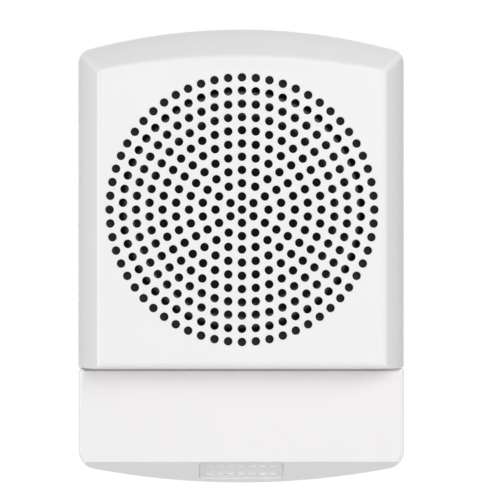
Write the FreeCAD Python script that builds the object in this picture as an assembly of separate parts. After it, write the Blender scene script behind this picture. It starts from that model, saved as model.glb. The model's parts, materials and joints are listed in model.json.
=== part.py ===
import FreeCAD, Part
import math
import os

# Wall-mounted alarm siren: a moulded head with a loudspeaker behind a round grille,
# hooked on a steel wall plate. Millimetres. Origin: on the wall, on the loudspeaker's
# axis. +X to the right, +Z up, and the front faces -Y. A depth is a distance in front
# of the wall, so a point at depth d has y = -d.

# ---------------------------------------------------------------- driving dimensions

# Outline of the head
HALF_WIDTH = 60.0
CROWN_Z = 66.7            # middle of the arched top edge
CROWN_ARC = 220.0
HEEL_Z = -100.35          # middle of the arched bottom edge
HEEL_ARC = 265.0
CORNER = 6.8
WALL = 2.5                # thickness of both moulded covers
REAR_EDGE = 2.5           # depth of the covers' rear edges

# Grille cover
BELT = 20.0               # depth where the upright sides end and the facets start
FRONT = 47.0              # depth of the flat front face
FRONT_HALF = 52.1
FRONT_CROWN_Z = 55.7
FRONT_CROWN_ARC = 271.0
SIDE_EASE = 1.6           # the side facets leave the belt gently and steepen to the front
TOP_EASE = 1.35           # the same for the top facet
FACET_SECTIONS = 5
FACE_ROUND = 2.4          # rounding round the front face and of the ridges
LIP_Z = -57.75            # lower end of the grille cover
LIP_DEPTH = 30.0          # the lip's underside reaches back to this depth
FLOOR_GAP_HALF = 54.0     # half the width of the open floor behind the lip
HOLE_PITCH = 4.8          # radial pitch of the rings of sound holes
HOLE_RADIUS = 1.56
HOLE_RINGS = 10
HOLE_CHAMFER = 0.15

# Lower cover
SEAM_GAP = 0.5
SEAM_REBATE = 0.7         # the seam is this much taller across the front, for a shadow line
TONGUE_INSET = 1.8        # the tongue in the seam lies this far behind both covers' skins
TONGUE_GAP = 0.06         # between the tongue and the grille cover's floor
LOWER_INSET = 0.5         # the lower cover is this much narrower on each side
LOWER_FRONT = 33.0
CHIN_Z = -92.1            # upper edge of the sloping chin
CHIN_RUN = 12.8           # depth of the chin facet in the middle
SIDE_ROUND = 1.8          # rounding of the front's upright edges
SHOULDER_ROUND = 0.5      # rounding of its upper edge
LEAD_GAP_HALF = 44.0      # gap in the floor between the covers for the leads
LEAD_GAP_DEPTH = 28.0

# Loudspeaker
FLANGE_FRONT = 40.5
SHEET = 1.2               # pressed steel of the basket
FLANGE_RADIUS = 50.0
EAR_RADIUS = 56.0         # pitch circle of the four fixing ears
COIL_RADIUS = 10.15
MAGNET_BACK = 6.5
CONE_TRAVEL_GAP = 1.5     # least space between the surround and the grille

# Rear cover and wall plate
REAR_PANEL = 8.0          # depth of the rear cover's outer face
REAR_SHEET = 2.0
PLATE = 2.5               # thickness of the wall plate
PLATE_HALF = 56.5
PLATE_CROWN_Z = 62.0
PLATE_HEEL_Z = -97.0
BOX_SCREW = 35.92         # half the screw spacing of a 4 inch square box
GANG_SCREW = 41.67        # half the screw spacing of a single-gang box
HINGE_Z = 59.5
HINGE_DEPTH = 5.0
PIN_RADIUS = 1.2
LOCK_DEPTH = 8.0          # depth of the upright lock screw's axis
LOCK_TRAVEL = 4.4

# Electronics
BOARD = 17.0              # depth of the circuit board's rear face
BOARD_SHEET = 1.6
BOARD_HALF = 46.0
POLE_PITCH = 10.0         # of the wall terminals
POLE_COUNT = 4
POCKET_FLOOR = 14.0       # depth of the rear cover's terminal pocket

BOARD_FRONT = BOARD + BOARD_SHEET
GRILLE_INNER = FRONT - WALL
POLE_XS = [(i - (POLE_COUNT - 1) / 2) * POLE_PITCH for i in range(POLE_COUNT)]


# ---------------------------------------------------------------- shape helpers

def V(x, depth, z):
    return FreeCAD.Vector(x, -depth, z)


def block(x0, x1, depth0, depth1, z0, z1):
    return Part.makeBox(x1 - x0, depth1 - depth0, z1 - z0, V(x0, depth1, z0))


def rod_y(x, z, radius, depth0, depth1):
    return Part.makeCylinder(radius, depth1 - depth0, V(x, depth0, z), FreeCAD.Vector(0, -1, 0))


def rod_x(x0, x1, depth, z, radius):
    return Part.makeCylinder(radius, x1 - x0, V(x0, depth, z), FreeCAD.Vector(1, 0, 0))


def rod_z(x, depth, radius, z0, z1):
    return Part.makeCylinder(radius, z1 - z0, V(x, depth, z0), FreeCAD.Vector(0, 0, 1))


def tube_y(x, z, outer, inner, depth0, depth1):
    return rod_y(x, z, outer, depth0, depth1).cut(rod_y(x, z, inner, depth0, depth1))


def turned(profile):
    """Ring about the loudspeaker's axis from a closed list of (radius, depth) points."""
    points = [V(radius, depth, 0) for radius, depth in profile]
    face = Part.Face(Part.makePolygon(points + [points[0]]))
    return face.revolve(FreeCAD.Vector(0, 0, 0), FreeCAD.Vector(0, 1, 0), 360)


def turned_skin(midline, thickness):
    """Thin ring about the loudspeaker's axis, with the midline as its front surface."""
    front = Part.BSplineCurve()
    front.interpolate([V(radius, depth, 0) for radius, depth in midline])
    back = Part.BSplineCurve()
    back.interpolate([V(radius, depth - thickness, 0) for radius, depth in midline])
    a, b = front.toShape(), back.toShape()
    ends = [Part.makeLine(a.valueAt(a.FirstParameter), b.valueAt(b.FirstParameter)),
            Part.makeLine(a.valueAt(a.LastParameter), b.valueAt(b.LastParameter))]
    face = Part.Face(Part.Wire(Part.__sortEdges__([a, b] + ends)))
    return face.revolve(FreeCAD.Vector(0, 0, 0), FreeCAD.Vector(0, 1, 0), 360)


def sector(inner, outer, angle, half_angle, depth0, depth1):
    """Piece of a ring about the loudspeaker's axis, centred on an angle in degrees."""
    def at(radius, degrees):
        turn = math.radians(degrees)
        return V(radius * math.cos(turn), depth0, radius * math.sin(turn))
    low, high = angle - half_angle, angle + half_angle
    edges = [Part.Arc(at(outer, low), at(outer, angle), at(outer, high)).toShape(),
             Part.makeLine(at(outer, high), at(inner, high)),
             Part.Arc(at(inner, high), at(inner, angle), at(inner, low)).toShape(),
             Part.makeLine(at(inner, low), at(outer, low))]
    return Part.Face(Part.Wire(edges)).extrude(FreeCAD.Vector(0, depth0 - depth1, 0))


def strip(points, thickness, x0, x1):
    """Bent leaf of sheet metal: (depth, z) points along its middle, from x0 to x1 wide."""
    leaf = None
    for (depth_a, z_a), (depth_b, z_b) in zip(points, points[1:]):
        length = math.hypot(depth_b - depth_a, z_b - z_a)
        turn = math.degrees(math.atan2(z_b - z_a, depth_a - depth_b))
        piece = Part.makeBox(x1 - x0, length, thickness,
                             FreeCAD.Vector(x0, 0, -thickness / 2))
        piece.rotate(FreeCAD.Vector(0, 0, 0), FreeCAD.Vector(1, 0, 0), turn)
        piece.translate(V(0, depth_a, z_a))
        piece = piece.fuse(rod_x(x0, x1, depth_b, z_b, thickness / 2))
        leaf = piece if leaf is None else leaf.fuse(piece)
    return leaf.removeSplitter()


def bent_wire(points, radius, bend):
    """Round wire along straight runs joined by tangent arcs of one bend radius."""
    edges = []
    start = points[0]
    for before, corner, after in zip(points, points[1:], points[2:]):
        into = (corner - before).normalize()
        out = (after - corner).normalize()
        half_turn = into.getAngle(out) / 2
        setback = bend * math.tan(half_turn)
        arc_start = corner - into * setback
        arc_end = corner + out * setback
        middle = (out - into).normalize()
        arc_middle = corner + middle * (bend / math.cos(half_turn) - bend)
        edges.append(Part.makeLine(start, arc_start))
        edges.append(Part.Arc(arc_start, arc_middle, arc_end).toShape())
        start = arc_end
    edges.append(Part.makeLine(start, points[-1]))
    path = Part.Wire(edges)
    section = Part.Wire(Part.makeCircle(radius, points[0], points[1] - points[0]))
    return path.makePipeShell([section], True, False)


def arch_z(crown, radius, x):
    """Height of an arch with its crown on the middle line."""
    return crown - radius + math.sqrt(radius ** 2 - x ** 2)


def outline(depth, half, top, top_arc, bottom, bottom_arc):
    """Upright-sided outline with an arched top, and an arched or a straight bottom."""
    top_side = arch_z(top, top_arc, half)
    upper = Part.Arc(V(-half, depth, top_side), V(0, depth, top), V(half, depth, top_side))
    if bottom_arc:
        bottom_side = -arch_z(-bottom, bottom_arc, half)
        lower = Part.Arc(V(half, depth, bottom_side), V(0, depth, bottom),
                         V(-half, depth, bottom_side)).toShape()
    else:
        bottom_side = bottom
        lower = Part.makeLine(V(half, depth, bottom), V(-half, depth, bottom))
    right = Part.makeLine(V(half, depth, top_side), V(half, depth, bottom_side))
    left = Part.makeLine(V(-half, depth, bottom_side), V(-half, depth, top_side))
    return Part.Wire([upper.toShape(), right, lower, left])


def prism(wire, thickness):
    return Part.Face(wire).extrude(FreeCAD.Vector(0, -thickness, 0))


def edges_along_y(shape, above=-1000.0, below=1000.0):
    """Straight edges square to the wall whose height lies between two values."""
    found = []
    for edge in shape.Edges:
        box = edge.BoundBox
        square = box.XLength < 0.01 and box.ZLength < 0.01
        if square and box.YLength > 0.1 and above < box.ZMin < below:
            found.append(edge)
    return found


def group(solids):
    return Part.makeCompound(solids)


def one_solid(shape):
    """The single solid that a boolean operation left in a compound."""
    return shape.Solids[0] if len(shape.Solids) == 1 else shape


# ---------------------------------------------------------------- grille cover

def grille_form(inset):
    """The grille cover's outer form, or its hollow when inset is the wall."""
    run = FRONT - BELT
    side_lean = math.hypot(run, HALF_WIDTH - FRONT_HALF) / run
    top_lean = math.hypot(run, CROWN_Z - FRONT_CROWN_Z) / run
    sections = []
    for i in range(FACET_SECTIONS):
        depth = BELT + (run - inset) * i / (FACET_SECTIONS - 1)
        t = (depth - BELT) / run
        thinning = inset * (1 + (side_lean - 1) * t)
        drop = inset * (1 + (top_lean - 1) * t)
        half = HALF_WIDTH + t ** SIDE_EASE * (FRONT_HALF - HALF_WIDTH) - thinning
        top = CROWN_Z + t ** TOP_EASE * (FRONT_CROWN_Z - CROWN_Z) - drop
        arc = CROWN_ARC + t * (FRONT_CROWN_ARC - CROWN_ARC) - inset
        sections.append(outline(depth, half, top, arc, LIP_Z + inset, None))
    facets = Part.makeLoft(sections, True, False)
    belt_outline = outline(REAR_EDGE, HALF_WIDTH - inset, CROWN_Z - inset,
                           CROWN_ARC - inset, LIP_Z + inset, None)
    form = prism(belt_outline, BELT - REAR_EDGE).fuse(facets).removeSplitter()
    rounded = prism(belt_outline, FRONT)
    rounded = rounded.makeFillet(CORNER - inset, edges_along_y(rounded, above=0))
    return one_solid(form.common(rounded))


def soften_grille(form):
    """Rounds the ridges, and the edges all round the front face."""
    edges = []
    for edge in form.Edges:
        box = edge.BoundBox
        on_front = box.YMax < -FRONT + 0.01
        ridge = box.YLength > 15 and box.XLength > 3 and box.ZMin > 40
        if on_front or ridge:
            edges.append(edge)
    return form.makeFillet(FACE_ROUND, edges)


def sound_hole(x, z):
    """Cutter for one hole, with a small chamfer at its mouth."""
    mouth = HOLE_RADIUS + HOLE_CHAMFER
    profile = [V(x, GRILLE_INNER - 1, z), V(x + HOLE_RADIUS, GRILLE_INNER - 1, z),
               V(x + HOLE_RADIUS, FRONT - HOLE_CHAMFER, z), V(x + mouth, FRONT, z),
               V(x + mouth, FRONT + 1, z), V(x, FRONT + 1, z)]
    face = Part.Face(Part.makePolygon(profile + [profile[0]]))
    return face.revolve(V(x, 0, z), FreeCAD.Vector(0, 1, 0), 360)


def sound_holes():
    holes = [sound_hole(0, 0)]
    for ring in range(1, HOLE_RINGS + 1):
        count = 6 * ring
        for i in range(count):
            turn = 2 * math.pi * i / count
            x = ring * HOLE_PITCH * math.sin(turn)
            z = ring * HOLE_PITCH * math.cos(turn)
            holes.append(sound_hole(x, z))
    return group(holes)


DASH_HEIGHT = 2.1
DASH_RELIEF = 0.2
DASH_CROWN_Z = 53.0
DASH_ARC = 150.0
DASH_GAP = 0.9
DASH_WIDTHS = [2.4, 1.2, 3.0, 1.2, 2.0, 3.4]
DASH_COUNT = 17


def raised_dashes():
    """Faint raised dashes in a shallow arch above the sound holes."""
    widths = [DASH_WIDTHS[i % len(DASH_WIDTHS)] for i in range(DASH_COUNT)]
    x = -(sum(widths) + DASH_GAP * (DASH_COUNT - 1)) / 2
    dashes = []
    for width in widths:
        middle = x + width / 2
        dash = block(-width / 2, width / 2, FRONT - 0.5, FRONT + DASH_RELIEF,
                     -DASH_HEIGHT / 2, DASH_HEIGHT / 2)
        dash.rotate(FreeCAD.Vector(0, 0, 0), FreeCAD.Vector(0, 1, 0),
                    math.degrees(middle / DASH_ARC))
        dash.translate(V(middle, 0, arch_z(DASH_CROWN_Z, DASH_ARC, middle)))
        dashes.append(dash)
        x += width + DASH_GAP
    return dashes


SPEAKER_BOSSES = [(sx * EAR_RADIUS / math.sqrt(2), sz * EAR_RADIUS / math.sqrt(2))
                  for sx in (-1, 1) for sz in (-1, 1)]
GRILLE_BOSSES = [(-51.5, 51.0), (51.5, 51.0), (-51.5, -47.0), (51.5, -47.0)]
LOWER_BOSSES = [(-51.0, -67.0), (51.0, -67.0), (-51.0, -87.5), (51.0, -87.5)]
BOSS_RADIUS = 4.0
PILOT_RADIUS = 1.25
PANEL_FRONT = REAR_PANEL + REAR_SHEET
PILOT_DEPTH = PANEL_FRONT + 12
FLOOR_DEPTH = PANEL_FRONT + 4         # the floors' openings are full width up to this depth


def grille_cover():
    form = soften_grille(grille_form(0))
    shell = form.cut(grille_form(WALL))
    inner_half = HALF_WIDTH - WALL
    floor_gaps = [block(-inner_half, inner_half, 0, FLOOR_DEPTH, LIP_Z - 1, LIP_Z + WALL + 1),
                  block(-FLOOR_GAP_HALF, FLOOR_GAP_HALF, 0, LIP_DEPTH, LIP_Z - 1, LIP_Z + WALL + 1)]
    shell = shell.cut(group(floor_gaps))
    posts = [rod_y(x, z, BOSS_RADIUS, PANEL_FRONT, FRONT - 1) for x, z in GRILLE_BOSSES]
    posts = group(posts).common(form)
    seats = [rod_y(x, z, BOSS_RADIUS, FLANGE_FRONT, GRILLE_INNER + 1)
             for x, z in SPEAKER_BOSSES]
    shell = shell.multiFuse(posts.Solids + seats + raised_dashes())
    pilots = [rod_y(x, z, PILOT_RADIUS, 0, PILOT_DEPTH) for x, z in GRILLE_BOSSES]
    pilots += [rod_y(x, z, PILOT_RADIUS, 0, FLANGE_FRONT + 3.2) for x, z in SPEAKER_BOSSES]
    shell = shell.cut(group(pilots + [sound_holes()]))
    return one_solid(shell)


# ---------------------------------------------------------------- lower cover

CHIN_SLOPE = math.atan2(CHIN_Z - HEEL_Z, CHIN_RUN)    # the chin against the wall's normal


def chin_cutter(inset):
    """Everything in front of and below the chin facet."""
    long = 60.0
    edge = V(0, LOWER_FRONT - inset * math.sin(CHIN_SLOPE), CHIN_Z + inset * math.cos(CHIN_SLOPE))
    cutter = Part.makeBox(200, long, long, FreeCAD.Vector(-100, -long / 2, -long))
    cutter.rotate(FreeCAD.Vector(0, 0, 0), FreeCAD.Vector(1, 0, 0), -math.degrees(CHIN_SLOPE))
    cutter.translate(edge)
    return cutter


def lower_form(inset):
    half = HALF_WIDTH - LOWER_INSET - inset
    top = LIP_Z - SEAM_GAP - inset
    front = LOWER_FRONT - inset
    side = -arch_z(-HEEL_Z - inset, HEEL_ARC - inset, half)
    edges = [Part.makeLine(V(-half, REAR_EDGE, top), V(half, REAR_EDGE, top)),
             Part.makeLine(V(half, REAR_EDGE, top), V(half, REAR_EDGE, side)),
             Part.Arc(V(half, REAR_EDGE, side), V(0, REAR_EDGE, HEEL_Z + inset),
                      V(-half, REAR_EDGE, side)).toShape(),
             Part.makeLine(V(-half, REAR_EDGE, side), V(-half, REAR_EDGE, top))]
    form = prism(Part.Wire(edges), front - REAR_EDGE)
    form = form.makeFillet(CORNER - inset, edges_along_y(form, below=LIP_Z - 20))
    return one_solid(form.cut(chin_cutter(inset)))


def soften_lower(form):
    """Rounds the lower cover's front sides and the edges of its chin."""
    sides = []
    for edge in form.Edges:
        box = edge.BoundBox
        on_front = box.YMin < -LOWER_FRONT + 0.01 and box.YLength < 0.01
        if on_front and box.ZLength > 20:
            sides.append(edge)
    form = form.makeFillet(SIDE_ROUND, sides)
    shoulder = [edge for edge in form.Edges
                if edge.BoundBox.ZMin > LIP_Z - SEAM_GAP - 0.01 and edge.BoundBox.XLength > 50
                and edge.BoundBox.YMin < -LOWER_FRONT + 0.01]
    return form.makeFillet(SHOULDER_ROUND, shoulder)


def seam_tongue():
    """Slab on the lower cover's roof that closes the seam behind both skins."""
    half = HALF_WIDTH - LOWER_INSET - TONGUE_INSET
    return block(-half, half, REAR_EDGE, LOWER_FRONT - TONGUE_INSET,
                 LIP_Z - SEAM_GAP - WALL / 2, LIP_Z - TONGUE_GAP)


BADGE_HALF_WIDTH = 15.25
BADGE_HALF_HEIGHT = 6.3
BADGE_DROP = 6.6          # from the chin's upper edge down the slope to the badge's middle
BADGE_CORNER = 1.6
BADGE_SINK = 0.9          # depth of its pocket in the chin
BADGE_FIT = 0.12          # clearance round it in the pocket
BADGE_SHEET = 0.4
BADGE_RELIEF = 0.7
BADGE_RIM = 0.7
BADGE_BARS = 7
BADGE_BAR_PITCH = 3.9
BADGE_BAR_WIDTH = 2.6
BADGE_BAR_HEIGHT = 1.1
BADGE_ROW_OFFSET = 2.9    # of the two rows of bars from the badge's middle


def badge_blank(half_width, half_height, corner, low, high):
    plate = Part.makeBox(2 * half_width, 2 * half_height, high - low,
                         FreeCAD.Vector(-half_width, -half_height, low))
    upright = [edge for edge in plate.Edges
               if edge.BoundBox.XLength < 0.01 and edge.BoundBox.YLength < 0.01]
    return plate.makeFillet(corner, upright)


def laid_on_chin(shape):
    """Turns a shape built over the XY plane so that the plane lies on the chin's skin."""
    right = FreeCAD.Vector(1, 0, 0)
    uphill = FreeCAD.Vector(0, -math.cos(CHIN_SLOPE), math.sin(CHIN_SLOPE))
    outward = right.cross(uphill)
    shape.Placement = FreeCAD.Placement(V(0, LOWER_FRONT, CHIN_Z) - uphill * BADGE_DROP,
                                        FreeCAD.Rotation(right, uphill, outward, "XYZ"))
    return shape


def badge_pocket():
    return laid_on_chin(badge_blank(BADGE_HALF_WIDTH + BADGE_FIT, BADGE_HALF_HEIGHT + BADGE_FIT,
                                    BADGE_CORNER + BADGE_FIT, -BADGE_SINK, 1))


LOCK_FLOOR_Z = -93.0      # bearing face of the lock screw's head
LOCK_FLOOR = 1.5
LOCK_RECESS = 3.7
LOCK_TUBE = 5.2


def seam_rebate():
    """Cutter along the front edge of the lower cover's roof; it stops short of the sides."""
    half = HALF_WIDTH - LOWER_INSET - TONGUE_INSET
    return block(-half, half, LOWER_FRONT - TONGUE_INSET, LOWER_FRONT + 1,
                 LIP_Z - SEAM_GAP - SEAM_REBATE, LIP_Z - SEAM_GAP + 1)


def lower_cover():
    form = soften_lower(lower_form(0)).cut(seam_rebate())
    shell = form.cut(lower_form(WALL)).fuse(seam_tongue())
    top = LIP_Z - SEAM_GAP
    inner_half = HALF_WIDTH - LOWER_INSET - WALL
    roof_gaps = [block(-inner_half, inner_half, 0, FLOOR_DEPTH, top - WALL - 1, top + 1),
                 block(-LEAD_GAP_HALF, LEAD_GAP_HALF, 0, LEAD_GAP_DEPTH, top - WALL - 1, top + 1)]
    posts = [rod_y(x, z, BOSS_RADIUS, PANEL_FRONT, LOWER_FRONT - 1) for x, z in LOWER_BOSSES]
    posts = group(posts).common(form)
    tube = rod_z(0, LOCK_DEPTH, LOCK_TUBE, HEEL_Z + 1, LOCK_FLOOR_Z + LOCK_FLOOR)
    shell = shell.multiFuse(posts.Solids + [tube])
    recess = rod_z(0, LOCK_DEPTH, LOCK_RECESS, HEEL_Z - 1, LOCK_FLOOR_Z)
    clearance = rod_z(0, LOCK_DEPTH, 1.8, HEEL_Z - 1, LOCK_FLOOR_Z + LOCK_FLOOR + 1)
    pilots = [rod_y(x, z, PILOT_RADIUS, 0, PILOT_DEPTH) for x, z in LOWER_BOSSES]
    shell = shell.cut(group(roof_gaps + [recess, clearance, badge_pocket()] + pilots))
    return one_solid(shell)


def name_badge():
    """Badge with a raised rim and plain raised bars, glued in the chin's pocket."""
    sheet = BADGE_SHEET - BADGE_SINK
    top = sheet + BADGE_RELIEF
    plate = badge_blank(BADGE_HALF_WIDTH, BADGE_HALF_HEIGHT, BADGE_CORNER, -BADGE_SINK, top)
    field = badge_blank(BADGE_HALF_WIDTH - BADGE_RIM, BADGE_HALF_HEIGHT - BADGE_RIM,
                        BADGE_CORNER - BADGE_RIM, sheet, top + 1)
    plate = plate.cut(field)
    bars = []
    for i in range(BADGE_BARS):
        x = (i - (BADGE_BARS - 1) / 2) * BADGE_BAR_PITCH
        for y in (-BADGE_ROW_OFFSET, BADGE_ROW_OFFSET):
            corner = FreeCAD.Vector(x - BADGE_BAR_WIDTH / 2, y - BADGE_BAR_HEIGHT / 2,
                                    sheet - 0.2)
            bars.append(Part.makeBox(BADGE_BAR_WIDTH, BADGE_BAR_HEIGHT, BADGE_RELIEF + 0.2,
                                     corner))
    plate = laid_on_chin(plate.multiFuse(bars))
    return one_solid(plate)


# ---------------------------------------------------------------- rear cover

POCKET_HALF = 25.0
POCKET_TOP_Z = -57.0
POCKET_WALL = 1.5
HOOK_XS = (-22.0, 22.0)
STANDOFFS = [(-42.0, -65.5), (42.0, -65.5), (-42.0, -88.5), (42.0, -88.5)]
DIP_X = 36.0
DIP_Z = -77.0
DIP_HALF_X = 5.9
DIP_HALF_Z = 3.2
DIP_BODY = 4.0
DIP_XS = [DIP_X + (i - 1.5) * 2.54 for i in range(4)]
DIP_LOW_Z = DIP_Z - 1.7


def hook(x):
    """Inverted-U hook that hangs on a hinge pin of the wall plate."""
    half = 3.6
    arm = block(x - half, x + half, 1.6, REAR_PANEL + 0.5, 56.6, 62.2)
    slot_radius = PIN_RADIUS + 0.2
    slot = rod_x(x - half, x + half, HINGE_DEPTH, HINGE_Z, slot_radius)
    mouth = block(x - half, x + half, HINGE_DEPTH - slot_radius, HINGE_DEPTH + slot_radius,
                  56, HINGE_Z)
    return arm.cut(slot.fuse(mouth))


def rear_cover():
    fit = WALL + 0.3
    panel_outline = outline(REAR_PANEL, HALF_WIDTH - LOWER_INSET - fit, CROWN_Z - fit,
                            CROWN_ARC - fit, HEEL_Z + fit, HEEL_ARC - fit)
    panel = prism(panel_outline, REAR_SHEET)
    panel = panel.makeFillet(CORNER - WALL, edges_along_y(panel))
    pocket = block(-POCKET_HALF - POCKET_WALL, POCKET_HALF + POCKET_WALL, REAR_PANEL,
                   POCKET_FLOOR + POCKET_WALL, HEEL_Z + fit + 1.4, POCKET_TOP_Z + POCKET_WALL)
    posts = [rod_y(x, z, 3.0, REAR_PANEL + 0.5, BOARD) for x, z in STANDOFFS]
    cover = panel.multiFuse([pocket] + posts + [hook(x) for x in HOOK_XS])
    cuts = [rod_y(0, 0, 33.0, 0, PANEL_FRONT + 1)]
    cuts.append(block(-POCKET_HALF, POCKET_HALF, 0, POCKET_FLOOR, HEEL_Z - 1, POCKET_TOP_Z))
    for x in POLE_XS:
        cuts.append(block(x - 2, x + 2, POCKET_FLOOR - 1, POCKET_FLOOR + 3, -65.6, -61.6))
    cuts.append(block(DIP_X - DIP_HALF_X - 1, DIP_X + DIP_HALF_X + 1, 0, PANEL_FRONT + 1,
                      DIP_Z - DIP_HALF_Z - 1, DIP_Z + DIP_HALF_Z + 1))
    cuts += [rod_y(x, z, 1.0, PANEL_FRONT + 1, BOARD + 1) for x, z in STANDOFFS]
    cuts += [rod_y(x, z, 1.6, 0, PANEL_FRONT + 1) for x, z in GRILLE_BOSSES + LOWER_BOSSES]
    return one_solid(cover.cut(group(cuts)))


def pan_screw(x, z, head_depth, tip_depth, head_radius, head_height, shank_radius):
    """Pan-head screw square to the wall; its head is on the side away from the tip."""
    away = 1 if tip_depth > head_depth else -1
    head_top = head_depth - away * head_height
    head = rod_y(x, z, head_radius, min(head_depth, head_top), max(head_depth, head_top))
    rim = [edge for edge in head.Edges if abs(edge.BoundBox.YMin + head_top) < 0.01
           and edge.BoundBox.YLength < 0.01]
    head = head.makeFillet(head_height * 0.45, rim)
    shank = rod_y(x, z, shank_radius, min(head_depth, tip_depth), max(head_depth, tip_depth))
    socket_end = head_depth - away * head_height * 0.35
    low, high = sorted((socket_end, head_top - away * 0.5))
    arm, half = head_radius * 0.6, head_radius * 0.13
    cross = block(x - arm, x + arm, low, high, z - half, z + half)
    cross = cross.fuse(block(x - half, x + half, low, high, z - arm, z + arm))
    return one_solid(head.fuse(shank).cut(cross))


def rear_cover_screws():
    return group([pan_screw(x, z, REAR_PANEL, PANEL_FRONT + 9, 2.9, 1.8, PILOT_RADIUS)
                  for x, z in GRILLE_BOSSES + LOWER_BOSSES])


# ---------------------------------------------------------------- loudspeaker

MAGNET_FRONT = MAGNET_BACK + 18.0
FLANGE_BACK = FLANGE_FRONT - SHEET
LEDGE = MAGNET_FRONT + 5.0            # depth of the spider's ledge in the basket
SKIN = 0.5
CONE_NECK = MAGNET_FRONT + 9.0
CONE_RIM_RADIUS = 35.6
ROLL_INNER = 36.2
ROLL_OUTER = 42.8
ROLL_HEIGHT = GRILLE_INNER - CONE_TRAVEL_GAP - FLANGE_FRONT - SKIN
DUST_CAP_RADIUS = 13.5


def speaker_gasket():
    return tube_y(0, 0, FLANGE_RADIUS, 44.5, FLANGE_FRONT, GRILLE_INNER)


def speaker_basket():
    profile = [(13, MAGNET_FRONT), (24.2, MAGNET_FRONT), (24.2, LEDGE - SHEET),
               (28.2, LEDGE - SHEET), (44.4, FLANGE_BACK), (FLANGE_RADIUS, FLANGE_BACK),
               (FLANGE_RADIUS, FLANGE_FRONT), (43.4, FLANGE_FRONT), (27.6, LEDGE),
               (23, LEDGE), (23, MAGNET_FRONT + SHEET), (13, MAGNET_FRONT + SHEET)]
    basket = turned(profile)
    ears = []
    ear_holes = []
    for x, z in SPEAKER_BOSSES:
        ear = rod_y(x, z, 4.6, FLANGE_BACK, FLANGE_FRONT)
        tab = block(-4.6, 4.6, FLANGE_BACK, FLANGE_FRONT, 46, EAR_RADIUS)
        tab.rotate(FreeCAD.Vector(0, 0, 0), FreeCAD.Vector(0, 1, 0),
                   math.degrees(math.atan2(x, z)))
        ears += [ear, tab]
        ear_holes.append(rod_y(x, z, 1.8, FLANGE_BACK - 1, FLANGE_FRONT + 1))
    windows = [sector(29.5, 41.5, angle, 30, LEDGE - SHEET, FLANGE_BACK - 0.01)
               for angle in (0, 90, 180, 270)]
    return one_solid(basket.multiFuse(ears).cut(group(ear_holes + windows)))


def yoke():
    back = rod_y(0, 0, 28, MAGNET_BACK, MAGNET_BACK + 4)
    pole = rod_y(0, 0, 9.4, MAGNET_BACK + 4, MAGNET_FRONT)
    rim = [edge for edge in back.Edges if edge.BoundBox.YLength < 0.01
           and edge.BoundBox.YMin > -MAGNET_BACK - 0.01]
    back = back.makeChamfer(0.8, rim)
    return one_solid(back.fuse(pole).cut(rod_y(0, 0, 3, 0, MAGNET_FRONT + 1)))


def ferrite_magnet():
    ring = tube_y(0, 0, 30, 12, MAGNET_BACK + 4, MAGNET_FRONT - 4)
    outer = [edge for edge in ring.Edges if edge.BoundBox.XLength > 55
             and edge.BoundBox.YLength < 0.01]
    return ring.makeChamfer(0.7, outer)


def top_plate():
    return tube_y(0, 0, 28, 11, MAGNET_FRONT - 4, MAGNET_FRONT)


def voice_coil_former():
    return tube_y(0, 0, COIL_RADIUS, COIL_RADIUS - 0.2, MAGNET_FRONT - 5.5, CONE_NECK)


def voice_coil():
    return tube_y(0, 0, COIL_RADIUS + 0.45, COIL_RADIUS, MAGNET_FRONT - 5, MAGNET_FRONT + 1)


def spider():
    """Corrugated cloth disc that centres the voice coil."""
    line = []
    inner, outer = COIL_RADIUS, 26.8
    steps = 28
    for i in range(steps + 1):
        radius = inner + (outer - inner) * i / steps
        flat = radius < 11.5 or radius > 22.4
        wave = 0 if flat else 0.5 - 0.5 * math.cos(2 * math.pi * (radius - 11.5) / 2.725)
        line.append((radius, LEDGE + SKIN + 0.03 + 0.9 * wave))
    return turned_skin(line, SKIN)


def speaker_cone():
    rise = FLANGE_FRONT - CONE_NECK
    line = []
    for i in range(9):
        t = i / 8
        radius = COIL_RADIUS + (CONE_RIM_RADIUS - COIL_RADIUS) * t
        line.append((radius, CONE_NECK + rise * (1.3 * t - 0.3 * t * t)))
    return turned_skin(line, SKIN)


def cone_depth(radius):
    t = (radius - COIL_RADIUS) / (CONE_RIM_RADIUS - COIL_RADIUS)
    return CONE_NECK + (FLANGE_FRONT - CONE_NECK) * (1.3 * t - 0.3 * t * t)


def dust_cap():
    base = cone_depth(DUST_CAP_RADIUS) + SKIN
    line = []
    for i in range(9):
        t = i / 8
        line.append((DUST_CAP_RADIUS * t, base + 4.0 * (1 - t * t)))
    return turned_skin(line, SKIN)


def surround():
    """Half-roll rubber edge between the cone and the basket."""
    line = [(CONE_RIM_RADIUS - 1.2, FLANGE_FRONT + SKIN), (ROLL_INNER - 0.3, FLANGE_FRONT + SKIN)]
    steps = 10
    for i in range(steps + 1):
        turn = math.pi * i / steps
        radius = (ROLL_INNER + ROLL_OUTER) / 2 - (ROLL_OUTER - ROLL_INNER) / 2 * math.cos(turn)
        line.append((radius, FLANGE_FRONT + SKIN + ROLL_HEIGHT * math.sin(turn)))
    line += [(ROLL_OUTER + 0.3, FLANGE_FRONT + SKIN), (44.4, FLANGE_FRONT + SKIN)]
    return turned_skin(line, SKIN)


def speaker_screws():
    return group([pan_screw(x, z, FLANGE_BACK, FLANGE_FRONT + 2.6, 3.0, 1.9, PILOT_RADIUS)
                  for x, z in SPEAKER_BOSSES])


LUG_XS = (-4.0, 4.0)
LUG_Z = -53.2


def lead_terminal_board():
    return block(-7.5, 7.5, FLANGE_BACK - 1.2, FLANGE_BACK, -54.0, -45.5)


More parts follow.
